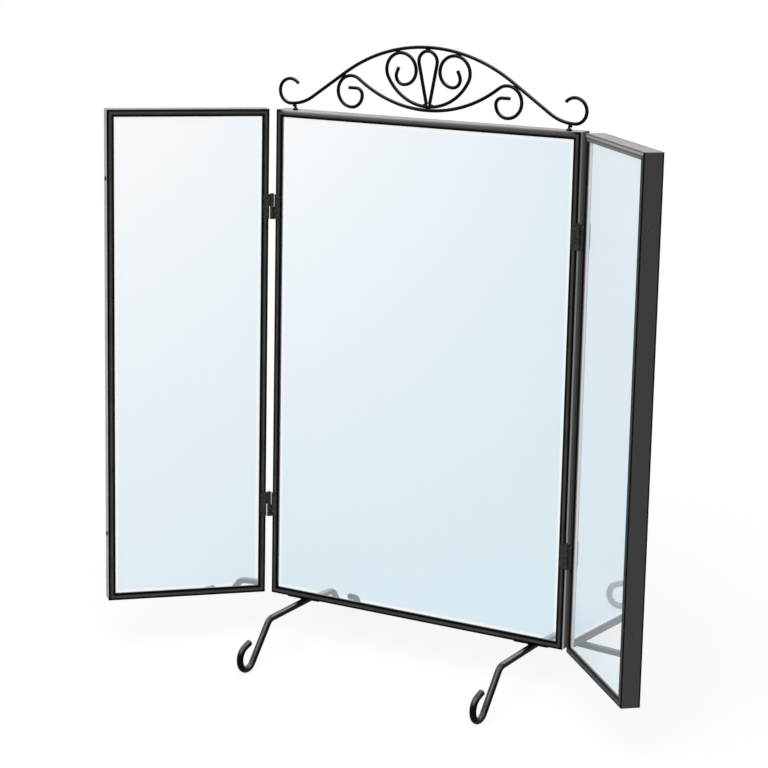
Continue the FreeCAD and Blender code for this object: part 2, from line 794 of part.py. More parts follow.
clip = clip_master()
clip_screw = screw_master(
    "clip_screw",
    "clip_screw_radius",
    "frame_wall + clip_thickness + clip_screw_end",
    "clip_head_radius",
    "clip_head_height",
)
leg_screw = screw_master(
    "leg_screw",
    "leg_screw_radius",
    "plate_thickness + frame_wall + leg_nut_height + leg_screw_end",
    "leg_head_radius",
    "leg_head_height",
)
leg_nut = nut_master("leg_nut", "leg_nut_radius", "leg_nut_height", "leg_screw_radius")
post_nut = nut_master("post_nut", "post_nut_radius", "post_nut_height", "post_stud_radius")

centre = build_panel("centre", "centre_width", "centre_clip_inset", PANEL)
leg_holes = [
    f"{leg_side} * ( centre_width / 2 - leg_inset ) + {side} * leg_screw_spacing / 2"
    for leg_side in SIDES.values()
    for side in SIDES.values()
]
floor_holes(centre, 0, leg_holes, f"{LEG_SCREW_DEPTH}", "leg_screw_radius + hole_clearance")
post_holes = [f"{side} * ( centre_width / 2 - arch_inset - post_offset )" for side in SIDES.values()]
floor_holes(centre, 1, post_holes, f"{POST_DEPTH}", "post_stud_radius + hole_clearance")

for side_name, side in SIDES.items():
    build_panel(f"{side_name}_wing", "wing_width", "wing_clip_inset", wing_place(side))
    for level_name, level in LEVELS.items():
        build_hinge(side_name, side, level_name, level)
    leg(side_name, side)
    heart_rod(side_name, side)
    finial_post(side_name, side)

upside_down = Placement(Vector(), Rotation(Vector(1, 0, 0), HALF))
group("leg_screws", leg_screw, [seat * upside_down for seat in leg_screw_seats(-size("plate_thickness"))])
group("leg_nuts", leg_nut, leg_screw_seats(size("frame_wall")))
nut_drop = Vector(0, 0, -size("frame_wall") - size("post_nut_height"))
post_seats = [Vector(side * POST_SPREAD, 0, 0) + nut_drop for side in SIDES.values()]
group("finial_nuts", post_nut, [FRAME_TOP * Placement(seat, Rotation()) for seat in post_seats])
arch_rod()
lower_scroll_rod()
teardrop_rod()

# Checks, then one file for each sub-part
document.recompute()
for item in document.Objects:
    if {"Invalid", "Error"} & set(item.State):
        raise RuntimeError(f"{item.Label} failed: {item.State}")
for label, item in nodes.items():
    if item.Shape.isNull() or not item.Shape.isValid():
        raise RuntimeError(f"{label} has no valid shape")
os.makedirs("parts", exist_ok=True)
for label, item in nodes.items():
    item.Shape.exportStep(f"parts/{label}.step")
print(f"{len(nodes)} sub-parts written")
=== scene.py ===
"""Folding table mirror: finishes, weld beads, screws, stage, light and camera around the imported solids."""
import json
import math
from functools import reduce
from typing import NamedTuple

import bmesh
import bpy
from mathutils import Matrix, Vector, noise
from mathutils.bvhtree import BVHTree


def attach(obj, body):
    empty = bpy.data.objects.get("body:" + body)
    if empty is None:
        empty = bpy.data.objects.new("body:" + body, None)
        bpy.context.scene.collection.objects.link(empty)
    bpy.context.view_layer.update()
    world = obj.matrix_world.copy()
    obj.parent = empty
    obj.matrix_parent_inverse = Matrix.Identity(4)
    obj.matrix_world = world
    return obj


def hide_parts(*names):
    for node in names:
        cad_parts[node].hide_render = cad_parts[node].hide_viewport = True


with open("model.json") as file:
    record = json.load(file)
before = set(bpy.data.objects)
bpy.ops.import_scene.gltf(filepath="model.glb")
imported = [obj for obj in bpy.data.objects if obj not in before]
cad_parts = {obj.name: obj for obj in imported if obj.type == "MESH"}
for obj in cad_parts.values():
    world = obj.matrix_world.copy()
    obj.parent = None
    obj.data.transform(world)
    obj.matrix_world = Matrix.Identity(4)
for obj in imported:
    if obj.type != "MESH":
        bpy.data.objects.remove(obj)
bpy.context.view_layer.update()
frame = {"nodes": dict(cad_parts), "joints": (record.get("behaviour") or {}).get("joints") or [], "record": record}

MILLIMETRE = 0.001
X_AXIS = Vector((1, 0, 0))
Y_AXIS = Vector((0, 1, 0))
Z_AXIS = Vector((0, 0, 1))
WHITE = (1.0, 1.0, 1.0)
OPAQUE = 1.0

# Camera, in metres and degrees
CAMERA_PLACE = (1.3332, -2.2951, 0.9920)
CAMERA_AZIMUTH = 31.04
CAMERA_ELEVATION = 13.72
LENS_MM = 109.66
SENSOR_MM = 36.0

# Stage and light, in metres and degrees
FLOOR_HALF = 40.0
FLOOR_GLOW = 0.86
FLOOR_SHADE = 0.14
FLOOR_BOUNCE = 0.75
AMBIENT = 0.62
SUN_STRENGTH = 1.6
SUN_SOFTNESS = 50.0
SUN_TURN = (40.0, 0.0, 12.0)

# Noise: its grain is in cells to a metre, and a finish spreads over one of these spans of its values
CLOUD_SHARES = (0.3, 0.7)
PATCH_SHARES = (0.35, 0.75)

# Paint on the folded frames
# Lips: lighter than the walls, a painted sheen
LIP_SHEEN_TONE = (0.060, 0.0595, 0.059)
WALL_TONE = (0.0045, 0.0044, 0.0043)
# Near black: painted shade along a lip's free edge and outer fold, and the dark of mitre seams and of the walls'
# rear edge
EDGE_SHADE_AND_SEAM_TONE = (0.0006, 0.0006, 0.0006)
# Pale: a painted highlight along a top fold and along the fold in a hinge gap
PAINTED_HIGHLIGHT_TONE = (0.60, 0.595, 0.585)
FRAME_SPECULAR = 0.03
FRAME_ROUGHNESS = (0.30, 0.38)
COAT_ROUGHNESS = 0.28
FRAME_GRAIN = 45.0
DARK_PATCH_SHARE = 0.3
PEEL_GRAIN = 1500.0
PEEL_DETAIL = 1.0
PEEL_STRENGTH = 0.10
PEEL_HEIGHT = 0.2 * MILLIMETRE
# Where a tone fades, measured from the lip's free edge, the outer fold, the face, the rear edge and a mitre. The
# fades at the free edge and the outer fold are painted shade.
FREE_EDGE_FADE = (4.3 * MILLIMETRE, 1.7 * MILLIMETRE)
FOLD_FADE = (1.5 * MILLIMETRE, 3.9 * MILLIMETRE)
FACE_FADE = (0.8 * MILLIMETRE, 2.0 * MILLIMETRE)
REAR_FADE = (2.4 * MILLIMETRE, 0.9 * MILLIMETRE)
MITRE_FADE = (0.15 * MILLIMETRE, 0.45 * MILLIMETRE)
MITRE_SHARE = 0.45
# Dark lines that break up the painted highlight along a top lip: how far apart they are, and how far down the
# first is
HIGHLIGHT_LINE_PITCH = 4.5 * MILLIMETRE
HIGHLIGHT_LINE_START = 2.5 * MILLIMETRE
# Side walls in a hinge gap: how far in they reach, and how deep the painted highlight and the painted shade, which
# dulls the coat, lie
GAP_WALL_FADE = (0.6 * MILLIMETRE, 1.2 * MILLIMETRE)
GAP_HIGHLIGHT_FADE = (3.5 * MILLIMETRE, 6.5 * MILLIMETRE)
GAP_SHADE_FADE = (4.0 * MILLIMETRE, 7.5 * MILLIMETRE)

# Mirror glass, with a painted reflection in its colour
GLASS_REFLECTION_BLUE = (0.680, 0.808, 0.870)
GLASS_REFLECTION_WHITE = (0.975, 0.980, 1.0)
GLASS_BLUR = (0.012, 0.03)
GLASS_GRAIN = 9.0
GLASS_FALL = 1.3
# A painted highlight along the lip: where it fades, and how white it gets
GLASS_GLINT_FADE = (1.0 * MILLIMETRE, 5.5 * MILLIMETRE)
GLASS_GLINT_SHARE = 0.9
# A band along a glass's left side that mirrors less, so that more of the painted pale reflection shows: how far
# from the lip it starts and ends
BAND_START = (2.0 * MILLIMETRE, 4.0 * MILLIMETRE)
BAND_END = (9.5 * MILLIMETRE, 12.5 * MILLIMETRE)


class PanelFinish(NamedTuple):
    """What sets the paint and the glass of one panel apart."""

    # How strong the painted highlight along the top fold is, at the left and the right end
    highlight_shares: tuple
    # How much the glass mirrors
    silver_share: float
    # How pale the painted reflection in the glass is at its left end, at its right end, and at its foot as a part
    # of its top
    pale_shares: tuple
    # How far down the painted highlight reaches, how steeply it falls, and how far from a corner it starts
    highlight_reach: float = 6.5 * MILLIMETRE
    highlight_fall: float = 3.0
    corner_fade: tuple = (4.0 * MILLIMETRE, 14.0 * MILLIMETRE)
    # How deep the dark lines that break up the painted highlight go
    highlight_line_share: float = 0.0
    # How pale the painted highlight along the fold in a hinge gap is at the foot and at the top, and how much the
    # coat behind it is dulled, which is painted shade
    gap_highlight_shares: tuple = (0.0, 0.0)
    gap_shade_share: float = 0.0
    # The shares of its height between which the painted reflection turns pale, and how much less its band mirrors
    rise_shares: tuple = (0.0, 1.0)
    band_share: float = 0.0


PANEL_FINISHES = {
    "centre": PanelFinish(
        highlight_shares=(1.0, 0.35),
        silver_share=0.65,
        pale_shares=(0.90, 0.24, 0.1),
        gap_highlight_shares=(0.85, 0.08),
        gap_shade_share=0.68,
    ),
    "left_wing": PanelFinish(
        highlight_shares=(0.02, 0.02),
        silver_share=0.62,
        pale_shares=(1.0, 0.74, 0.24),
    ),
    "right_wing": PanelFinish(
        highlight_shares=(0.85, 0.85),
        silver_share=0.59,
        pale_shares=(0.83, 0.75, 0.2),
        highlight_reach=11.5 * MILLIMETRE,
        highlight_fall=1.0,
        corner_fade=(0.0, 1.0 * MILLIMETRE),
        highlight_line_share=0.42,
        rise_shares=(0.0, 0.12),
        band_share=0.95,
    ),
}


class RodFinish(NamedTuple):
    """Black paint on rods or hinges."""

    name: str
    tones: tuple
    grain: float
    roughness: tuple
    specular: float
    # A painted sheen on the upper side: how far up a surface looks where its coat starts, and where the coat is
    # full
    coat_shares: tuple


ROD_FINISH = RodFinish(
    name="black_rod_paint",
    tones=((0.0018, 0.0018, 0.0019), (0.0040, 0.0040, 0.0041)),
    grain=70.0,
    roughness=(0.28, 0.37),
    specular=0.03,
    coat_shares=(0.3, 0.8),
)
HINGE_FINISH = RodFinish(
    name="black_hinge_paint",
    tones=((0.0008, 0.0008, 0.0008), (0.034, 0.0335, 0.033)),
    grain=360.0,
    roughness=(0.26, 0.35),
    specular=0.15,
    coat_shares=(-0.15, 0.9),
)
# What rods and hinges share: the coat, and the waves of hand-bent steel
ROD_COAT_IOR = 1.75
WAVE_GRAIN = 260.0
WAVE_DETAIL = 2.0
WAVE_STRENGTH = 0.18
WAVE_HEIGHT = 0.5 * MILLIMETRE

# Paint on the screws
SCREW_TONES = ((0.012, 0.012, 0.012), (0.062, 0.061, 0.060))
SCREW_ROUGHNESS = (0.26, 0.36)
SCREW_SPECULAR = 0.1
SCREW_GRAIN = 400.0
# A painted highlight on the dome and painted shade at the rim and in the recess: how squarely a head faces out
# where its tone starts to lighten, and where it is lightest
DOME_SHARES = (0.72, 0.95)

# Zinc plate
ZINC_TONES = ((0.42, 0.42, 0.40), (0.68, 0.68, 0.66))
ZINC_ROUGHNESS = (0.28, 0.45)
ZINC_GRAIN = 300.0

# Hardboard: dark and light fibres, and worn patches
BOARD_TONES = ((0.16, 0.085, 0.042), (0.36, 0.21, 0.115), (0.30, 0.18, 0.10))
BOARD_ROUGHNESS = 0.78
BOARD_GRAIN = 16.0
BOARD_WORN_SHARE = 0.5
BOARD_STRENGTH = 0.45
BOARD_RELIEF = 0.3 * MILLIMETRE
FIBRE_GRAIN = 420.0
FIBRE_DETAIL = 6.0
FIBRE_ROUGH = 0.7
SCREEN_PITCH = 1.6 * MILLIMETRE
SCREEN_SHARE = 0.5

# Screws
SCREW_SIDES = 32
DOME_STEPS = 6
THREAD_PITCH = 0.5 * MILLIMETRE
THREAD_ROOT_SHARE = 0.8
RIM_SHARE = 0.3
HEAD_EDGE_SHARE = 0.9
RECESS_REACH_SHARE = 0.62
RECESS_WIDTH_SHARE = 0.17
RECESS_TAPER_SHARE = 0.75
RECESS_FLOOR_SHARE = 0.3
RECESS_TOP_SHARE = 2.0
# How much further each screw is turned than the one before, in radians
DRIVEN_TURN = 0.7
# Points nearer than this are one
WELD_REACH = 0.01 * MILLIMETRE

# Weld beads
BEAD_SIDES = 14
BEAD_STEPS = 22
RIPPLE_PITCH = 1.1 * MILLIMETRE
RIPPLE_SHARE = 0.1
UNEVEN_SHARE = 0.16
FINIAL_BEAD_LENGTH = 6.5 * MILLIMETRE
FINIAL_BEAD_RADIUS = 1.35 * MILLIMETRE
LEG_BEAD_RADIUS = 1.2 * MILLIMETRE
LEG_BEAD_ASIDE = 3.0 * MILLIMETRE
LEG_BEAD_DROP = 0.6 * MILLIMETRE
# How far from the middle of a leg there is only its plate, and no rod
LEG_ROD_CLEAR = 5 * MILLIMETRE
# Two rods that are welded together, and the side where they are: -1 is left, 1 is right, and 0 is either
FINIAL_SEAMS = (
    ("finial_teardrop", "finial_arch", 0),
    ("finial_left_heart", "finial_arch", -1),
    ("finial_right_heart", "finial_arch", 1),
    ("finial_left_heart", "finial_lower_scroll", 0),
    ("finial_right_heart", "finial_lower_scroll", 0),
    ("finial_left_heart", "finial_teardrop", 0),
    ("finial_right_heart", "finial_teardrop", 0),
    ("finial_lower_scroll", "finial_arch", -1),
    ("finial_lower_scroll", "finial_arch", 1),
    ("finial_left_post", "finial_arch", -1),
    ("finial_right_post", "finial_arch", 1),
)


# Measures read from the frame

HINGE = next(row for row in frame["joints"] if row["name"] == "left_wing_hinge")
# The way up in the panels, which lean back with their hinges
UP = Vector(HINGE["axis"]).normalized()


def points_of(node):
    return [vertex.co for vertex in frame["nodes"][node].data.vertices]


def span(points, axis):
    """Lowest and highest reach of points along an axis."""
    reaches = [point.dot(axis) for point in points]
    return min(reaches), max(reaches)


def middle_along(points, axis):
    return sum(span(points, axis)) / 2


class Panel:
    """Axes and measures of one panel, read from its glass and its frame. Its body has the same name."""

    def __init__(self, name):
        self.name = name
        self.finish = PANEL_FINISHES[name]
        glass = frame["nodes"][f"{name}_glass"].data
        steel = points_of(f"{name}_frame")
        forward = [face for face in glass.polygons if face.normal.y < 0]
        self.front = max(forward, key=lambda face: face.area).normal.copy()
        self.across = UP.cross(self.front).normalized()
        self.ends = span(steel, self.across)
        self.foot, self.top = span(steel, UP)
        back, self.face = span(steel, self.front)
        left, right = self.ends
        self.middle = (left + right) / 2
        self.half_width = (right - left) / 2
        self.depth = self.face - back
        self.lip = max(self.inset(point) for point in steel)

    def inset(self, point):
        """Distance of a point from the nearest outer side."""
        sideways = self.half_width - abs(point.dot(self.across) - self.middle)
        return min(sideways, self.top - point.dot(UP), point.dot(UP) - self.foot)


PANELS = {name: Panel(name) for name in PANEL_FINISHES}


# Shader helpers


class Nodes:
    """Adds nodes to one tree, with their inputs given by name as a value or as another node's output."""

    def __init__(self, tree):
        self.tree = tree
        tree.nodes.clear()

    def add(self, kind, inputs=None, **settings):
        node = self.tree.nodes.new(kind)
        for name, value in settings.items():
            setattr(node, name, value)
        for name, value in (inputs or {}).items():
            self.put(node.inputs[name], value)
        return node

    def put(self, socket, value):
        if isinstance(value, bpy.types.NodeSocket):
            self.tree.links.new(value, socket)
        elif socket.type == "RGBA":
            socket.default_value = (*value, OPAQUE)
        else:
            socket.default_value = value

    def math(self, operation, first, second=0.0):
        return self.add("ShaderNodeMath", {0: first, 1: second}, operation=operation).outputs[0]

    def product(self, *values):
        return reduce(lambda first, second: self.math("MULTIPLY", first, second), values)

    def largest(self, *values):
        return reduce(lambda first, second: self.math("MAXIMUM", first, second), values)

    def point(self):
        return self.add("ShaderNodeTexCoord").outputs["Object"]

    def along(self, point, axis):
        """Reach of a point along a fixed axis."""
        node = self.add("ShaderNodeVectorMath", {0: point, 1: tuple(axis)}, operation="DOT_PRODUCT")
        return node.outputs["Value"]

    def ramp(self, value, low, high, first=0.0, last=1.0, kind="SMOOTHSTEP"):
        """Goes from one value to another between two limits."""
        settings = {"Value": value, "From Min": low, "From Max": high, "To Min": first, "To Max": last}
        return self.add("ShaderNodeMapRange", settings, interpolation_type=kind).outputs["Result"]

    def noise(self, point, grain, detail=3.0, rough=0.55):
        settings = {"Vector": point, "Scale": grain, "Detail": detail, "Roughness": rough}
        return self.add("ShaderNodeTexNoise", settings).outputs["Fac"]

    def mix(self, share, first, second):
        """Mixes two colours. Their sockets go by number, because other kinds share their names."""
        return self.add("ShaderNodeMix", {0: share, 6: first, 7: second}, data_type="RGBA").outputs[2]

    def bump(self, height, strength, distance):
        settings = {"Strength": strength, "Distance": distance, "Height": height}
        return self.add("ShaderNodeBump", settings).outputs["Normal"]

    def surface(self, inputs):
        """Ends a material with one principled shader."""
        shader = self.add("ShaderNodeBsdfPrincipled", inputs)
        self.add("ShaderNodeOutputMaterial", {"Surface": shader.outputs["BSDF"]})


class Places:
    """Shader twin of Panel.inset: where a point lies on a panel, measured from its ends and its sides."""

    def __init__(self, nodes, panel):
        self.point = nodes.point()
        self.across = nodes.along(self.point, panel.across)
        self.height = nodes.along(self.point, UP)
        aside = nodes.math("SUBTRACT", self.across, panel.middle)
        above = nodes.math("SUBTRACT", self.height, panel.foot)
        self.below = nodes.math("SUBTRACT", panel.top, self.height)
        self.sideways = nodes.math("SUBTRACT", panel.half_width, nodes.math("ABSOLUTE", aside))
        self.upright = nodes.math("MINIMUM", above, self.below)
        self.inset = nodes.math("MINIMUM", self.sideways, self.upright)


def new_material(name):
    material = bpy.data.materials.new(name)
    material.use_nodes = True
    return material, Nodes(material.node_tree)


# Finishes


def lip_edges(nodes, panel, places, lip):
    """Dark lines on a lip: painted shade along its free edge and along the outer fold, and dark seams at the
    mitres.
    """
    free_edge = nodes.ramp(places.inset, *(panel.lip - reach for reach in FREE_EDGE_FADE))
    fold = nodes.product(nodes.ramp(places.inset, *FOLD_FADE, 1.0, 0.0), lip)
    askew = nodes.math("ABSOLUTE", nodes.math("SUBTRACT", places.sideways, places.upright))
    mitre = nodes.product(nodes.ramp(askew, *MITRE_FADE, MITRE_SHARE, 0.0), lip)
    return nodes.largest(free_edge, fold, mitre)


def top_fold_highlight(nodes, panel, places, lip):
    """A painted highlight along the top fold, between the mitres, broken into dark lines."""
    finish = panel.finish
    highlight_ramp = nodes.ramp(places.across, *panel.ends, *finish.highlight_shares, kind="LINEAR")
    near = nodes.ramp(places.below, 0.0, finish.highlight_reach, 1.0, 0.0, kind="LINEAR")
    near = nodes.math("POWER", near, finish.highlight_fall)
    turn = nodes.product(nodes.math("SUBTRACT", places.below, HIGHLIGHT_LINE_START), 2 * math.pi / HIGHLIGHT_LINE_PITCH)
    darkest = 1 - 2 * finish.highlight_line_share
    lines = nodes.ramp(nodes.math("COSINE", turn), -1.0, 1.0, darkest, 1.0, kind="LINEAR")
    above_mitre = nodes.ramp(nodes.math("SUBTRACT", places.sideways, places.below), 0.0, MITRE_FADE[1])
    corner = nodes.ramp(places.sideways, *finish.corner_fade)
    return nodes.product(near, lines, lip, above_mitre, corner, highlight_ramp)


def gap_walls(nodes, panel, places, depth, wall):
    """Side walls in a hinge gap: a painted highlight along the fold, and behind it a duller coat that is painted
    shade.
    """
    finish = panel.finish
    side_wall = nodes.product(nodes.ramp(places.sideways, *GAP_WALL_FADE, 1.0, 0.0), wall)
    rise = nodes.ramp(places.below, panel.top - panel.foot, 0.0, *finish.gap_highlight_shares, kind="LINEAR")
    line = nodes.product(side_wall, rise, nodes.ramp(depth, *GAP_HIGHLIGHT_FADE, 1.0, 0.0))
    # Less coat deep in the gap: painted shade
    dull = nodes.product(side_wall, nodes.ramp(depth, *GAP_SHADE_FADE, 0.0, finish.gap_shade_share))
    return line, dull


def frame_paint(panel):
    """Satin paint on a folded frame: glossy walls, and matt lips with a painted sheen, painted shade along their
    edges, dark mitre seams and a painted highlight along the top fold.
    """
    material, nodes = new_material(f"{panel.name}_paint")
    places = Places(nodes, panel)
    depth = nodes.math("SUBTRACT", panel.face, nodes.along(places.point, panel.front))
    wall = nodes.ramp(depth, *FACE_FADE)
    lip = nodes.math("SUBTRACT", 1.0, wall)
    rear = nodes.ramp(depth, *(panel.depth - reach for reach in REAR_FADE))
    gap_highlight, gap_shade = gap_walls(nodes, panel, places, depth, wall)
    clouds = nodes.noise(places.point, FRAME_GRAIN)
    # The lips' lighter tone is a painted sheen
    tone = nodes.mix(wall, LIP_SHEEN_TONE, WALL_TONE)
    tone = nodes.mix(nodes.ramp(clouds, *PATCH_SHARES, 0.0, DARK_PATCH_SHARE), tone, WALL_TONE)
    # Painted shade along a lip's free edge and outer fold, dark mitre seams, and a dark rear edge
    tone = nodes.mix(nodes.largest(lip_edges(nodes, panel, places, lip), rear), tone, EDGE_SHADE_AND_SEAM_TONE)
    # Painted highlight along the top fold and along the fold in a hinge gap
    tone = nodes.mix(nodes.largest(top_fold_highlight(nodes, panel, places, lip), gap_highlight), tone, PAINTED_HIGHLIGHT_TONE)
    peel = nodes.noise(places.point, PEEL_GRAIN, PEEL_DETAIL)
    # No coat at the rear edge, and less coat deep in a hinge gap, which is painted shade
    coated = nodes.math("SUBTRACT", 1.0, nodes.largest(rear, gap_shade))
    nodes.surface({
        "Base Color": tone,
        "Roughness": nodes.ramp(clouds, *CLOUD_SHARES, *FRAME_ROUGHNESS),
        "Normal": nodes.bump(peel, PEEL_STRENGTH, PEEL_HEIGHT),
        "Specular IOR Level": FRAME_SPECULAR,
        "Coat Weight": nodes.product(wall, coated),
        "Coat Roughness": COAT_ROUGHNESS,
    })
    return material


def rod_paint(finish):
    """Black powder paint on hand-bent steel: small waves, and a painted sheen, a coat only where a surface looks
    up.
    """
    material, nodes = new_material(finish.name)
    point = nodes.point()
    clouds = nodes.noise(point, finish.grain)
    waves = nodes.noise(point, WAVE_GRAIN, WAVE_DETAIL)
    normal = nodes.add("ShaderNodeNewGeometry").outputs["Normal"]
    nodes.surface({
        "Base Color": nodes.mix(nodes.ramp(clouds, *CLOUD_SHARES), *finish.tones),
        "Roughness": nodes.ramp(clouds, *CLOUD_SHARES, *finish.roughness),
        "Normal": nodes.bump(waves, WAVE_STRENGTH, WAVE_HEIGHT),
        "Specular IOR Level": finish.specular,
        # Painted sheen: coat only where a surface looks up
        "Coat Weight": nodes.ramp(nodes.along(normal, UP), *finish.coat_shares),
        "Coat Roughness": COAT_ROUGHNESS,
        "Coat IOR": ROD_COAT_IOR,
    })
    return material


def screw_paint(name, axis):
    """Black paint on screws along an axis, with a painted highlight on the dome and painted shade at the rim and
    on the recess's walls.
    """
    material, nodes = new_material(name)
    normal = nodes.add("ShaderNodeTexCoord").outputs["Normal"]
    facing = nodes.math("ABSOLUTE", nodes.along(normal, axis))
    clouds = nodes.noise(nodes.point(), SCREW_GRAIN)
    nodes.surface({
        # Painted highlight on the dome, painted shade at the rim and on the recess's walls
        "Base Color": nodes.mix(nodes.ramp(facing, *DOME_SHARES), *SCREW_TONES),
        "Roughness": nodes.ramp(clouds, *CLOUD_SHARES, *SCREW_ROUGHNESS),
        "Specular IOR Level": SCREW_SPECULAR,
    })
    return material


def silvering(nodes, panel, places):
    """How much a glass mirrors: one share all over, or less of it in a band along the left side, where more of the
    painted pale reflection shows.
    """
    silver_share = panel.finish.silver_share
    if not panel.finish.band_share:
        return silver_share
    aside = nodes.math("SUBTRACT", places.across, panel.ends[0] + panel.lip)
    band = nodes.product(nodes.ramp(aside, *BAND_START), nodes.ramp(aside, *BAND_END, 1.0, 0.0))
    return nodes.ramp(band, 0.0, 1.0, silver_share, silver_share * (1 - panel.finish.band_share))


def silvered_glass(panel):
    """Mirror glass with a painted reflection in its colour, whiter towards the upper left and bluer below, and a
    painted highlight along the lip.
    """
    material, nodes = new_material(f"{panel.name}_silvering")
    places = Places(nodes, panel)
    left, right, foot = panel.finish.pale_shares
    leftward = nodes.ramp(places.across, *panel.ends, left, right, kind="LINEAR")
    height = nodes.ramp(places.height, panel.foot, panel.top, kind="LINEAR")
    risen = nodes.ramp(height, *panel.finish.rise_shares, kind="LINEAR")
    upward = nodes.ramp(nodes.math("POWER", risen, GLASS_FALL), 0.0, 1.0, foot, 1.0, kind="LINEAR")
    # A painted highlight along the lip
    glint_fade = [panel.lip + reach for reach in GLASS_GLINT_FADE]
    edge = nodes.ramp(places.inset, *glint_fade, GLASS_GLINT_SHARE, 0.0)
    # The colour is a painted reflection: whiter towards the upper left, bluer below
    painted_reflection = nodes.mix(nodes.product(leftward, upward), GLASS_REFLECTION_BLUE, GLASS_REFLECTION_WHITE)
    smudges = nodes.noise(places.point, GLASS_GRAIN)
    nodes.surface({
        "Base Color": nodes.mix(edge, painted_reflection, WHITE),
        "Roughness": nodes.ramp(smudges, *PATCH_SHARES, *GLASS_BLUR),
        "Metallic": silvering(nodes, panel, places),
    })
    return material


def plated_steel():
    """Zinc plate with the spangle of its crystals."""
    material, nodes = new_material("zinc_plate")
    spangle = nodes.noise(nodes.point(), ZINC_GRAIN)
    nodes.surface({
        "Base Color": nodes.mix(spangle, *ZINC_TONES),
        "Roughness": nodes.ramp(spangle, *CLOUD_SHARES, *ZINC_ROUGHNESS),
        "Metallic": 1.0,
    })
    return material


def hardboard(panel):
    """Pressed fibre board: tangled fibres, and the fine mesh that the press screen leaves."""
    material, nodes = new_material(f"{panel.name}_hardboard")
    point = nodes.point()
    fibres = nodes.noise(point, FIBRE_GRAIN, FIBRE_DETAIL, FIBRE_ROUGH)
    patches = nodes.ramp(nodes.noise(point, BOARD_GRAIN), *CLOUD_SHARES, 0.0, BOARD_WORN_SHARE)
    dark, light, worn = BOARD_TONES
    turns = 2 * math.pi / SCREEN_PITCH
    weft = nodes.math("SINE", nodes.product(nodes.along(point, panel.across), turns))
    warp = nodes.math("SINE", nodes.product(nodes.along(point, UP), turns))
    relief = nodes.math("ADD", nodes.product(weft, warp, SCREEN_SHARE), fibres)
    nodes.surface({
        "Base Color": nodes.mix(patches, nodes.mix(fibres, dark, light), worn),
        "Roughness": BOARD_ROUGHNESS,
        "Normal": nodes.bump(relief, BOARD_STRENGTH, BOARD_RELIEF),
    })
    return material


def make_finishes():
    """All finishes, by the name of the material slot or of the one node that each is for."""
    finishes = {
        "rod_steel": rod_paint(ROD_FINISH),
        "hinge_steel": rod_paint(HINGE_FINISH),
        "plated_steel": plated_steel(),
    }
    for name, panel in PANELS.items():
        finishes[f"{name}_frame"] = frame_paint(panel)
        finishes[f"{name}_glass"] = silvered_glass(panel)
        finishes[f"{name}_back_board"] = hardboard(panel)
    return finishes


FINISHES = make_finishes()


def dress_nodes():
    """Gives every node its finish: its own if it has one, or else that of its slot."""
    for row in frame["record"]["subparts"]:
        node = frame["nodes"][row["node"]]
        node.data.materials.clear()
        node.data.materials.append(FINISHES.get(row["node"]) or FINISHES[row["material_slot"]])


# Small pieces: screws with a cross recess, and weld beads


def add_piece(name, mesh, body, material):
    """Links a finished mesh that rides on a body."""
    piece = bpy.data.objects.new(name, mesh)
    bpy.context.scene.collection.objects.link(piece)
    mesh.materials.clear()
    mesh.materials.append(material)
    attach(piece, body)
    return piece


def to_mesh(shell, name):
    bmesh.ops.recalc_face_normals(shell, faces=shell.faces)
    mesh = bpy.data.meshes.new(name)
    shell.to_mesh(mesh)
    shell.free()
    return mesh


def join(meshes, name):
    shell = bmesh.new()
    for mesh in meshes:
        shell.from_mesh(mesh)
    return to_mesh(shell, name)


def skin(shell, rings, first, last):
    """Closes a row of rings, from one tip to another, with faces."""
    count = len(rings[0])
    for step in range(count):
        after = (step + 1) % count
        shell.faces.new((first, rings[0][after], rings[0][step]))
        shell.faces.new((last, rings[-1][step], rings[-1][after]))
        for low, high in zip(rings, rings[1:]):
            shell.faces.new((low[step], low[after], high[after], high[step]))


def spokes(count, side, other):
    """Directions all round, from two that are square to each other."""
    turns = [2 * math.pi * step / count for step in range(count)]
    return [side * math.cos(turn) + other * math.sin(turn) for turn in turns]


def screw_profile(radius, length, head_radius, head_height):
    """Radius and height along a screw: ringed shank below zero height, domed head above it."""
    root = radius * THREAD_ROOT_SHARE
    profile = []
    for turn in range(int(length / THREAD_PITCH)):
        start = turn * THREAD_PITCH - length
        profile += [(root, start), (radius, start + THREAD_PITCH / 2)]
    profile += [(root, 0), (head_radius, 0)]
    for step in range(DOME_STEPS):
        angle = math.pi / 2 * step / DOME_STEPS
        rise = RIM_SHARE + (1 - RIM_SHARE) * math.sin(angle)
        profile.append((head_radius * math.cos(angle), head_height * rise))
    return profile


def turned(profile, name):
    """A closed skin turned about Z, from a profile of radius and height."""
    shell = bmesh.new()
    around = spokes(SCREW_SIDES, X_AXIS, Y_AXIS)
    rings = []
    for radius, height in profile:
        rings.append([shell.verts.new(spoke * radius + Z_AXIS * height) for spoke in around])
    tips = [shell.verts.new(Z_AXIS * height) for _, height in (profile[0], profile[-1])]
    skin(shell, rings, *tips)
    return to_mesh(shell, name)


def cross_recess(head_radius, head_height, name):
    """Two crossing tapered bars that are sunk into a screw's head."""
    shell = bmesh.new()
    reach = head_radius * RECESS_REACH_SHARE
    width = head_radius * RECESS_WIDTH_SHARE
    for half_long, half_short in ((reach, width), (width, reach)):
        for vertex in bmesh.ops.create_cube(shell, size=2)["verts"]:
            upper = vertex.co.z > 0
            taper = 1 if upper else RECESS_TAPER_SHARE
            height = head_height * (RECESS_TOP_SHARE if upper else RECESS_FLOOR_SHARE)
            vertex.co = (vertex.co.x * half_long * taper, vertex.co.y * half_short * taper, height)
    return to_mesh(shell, name)


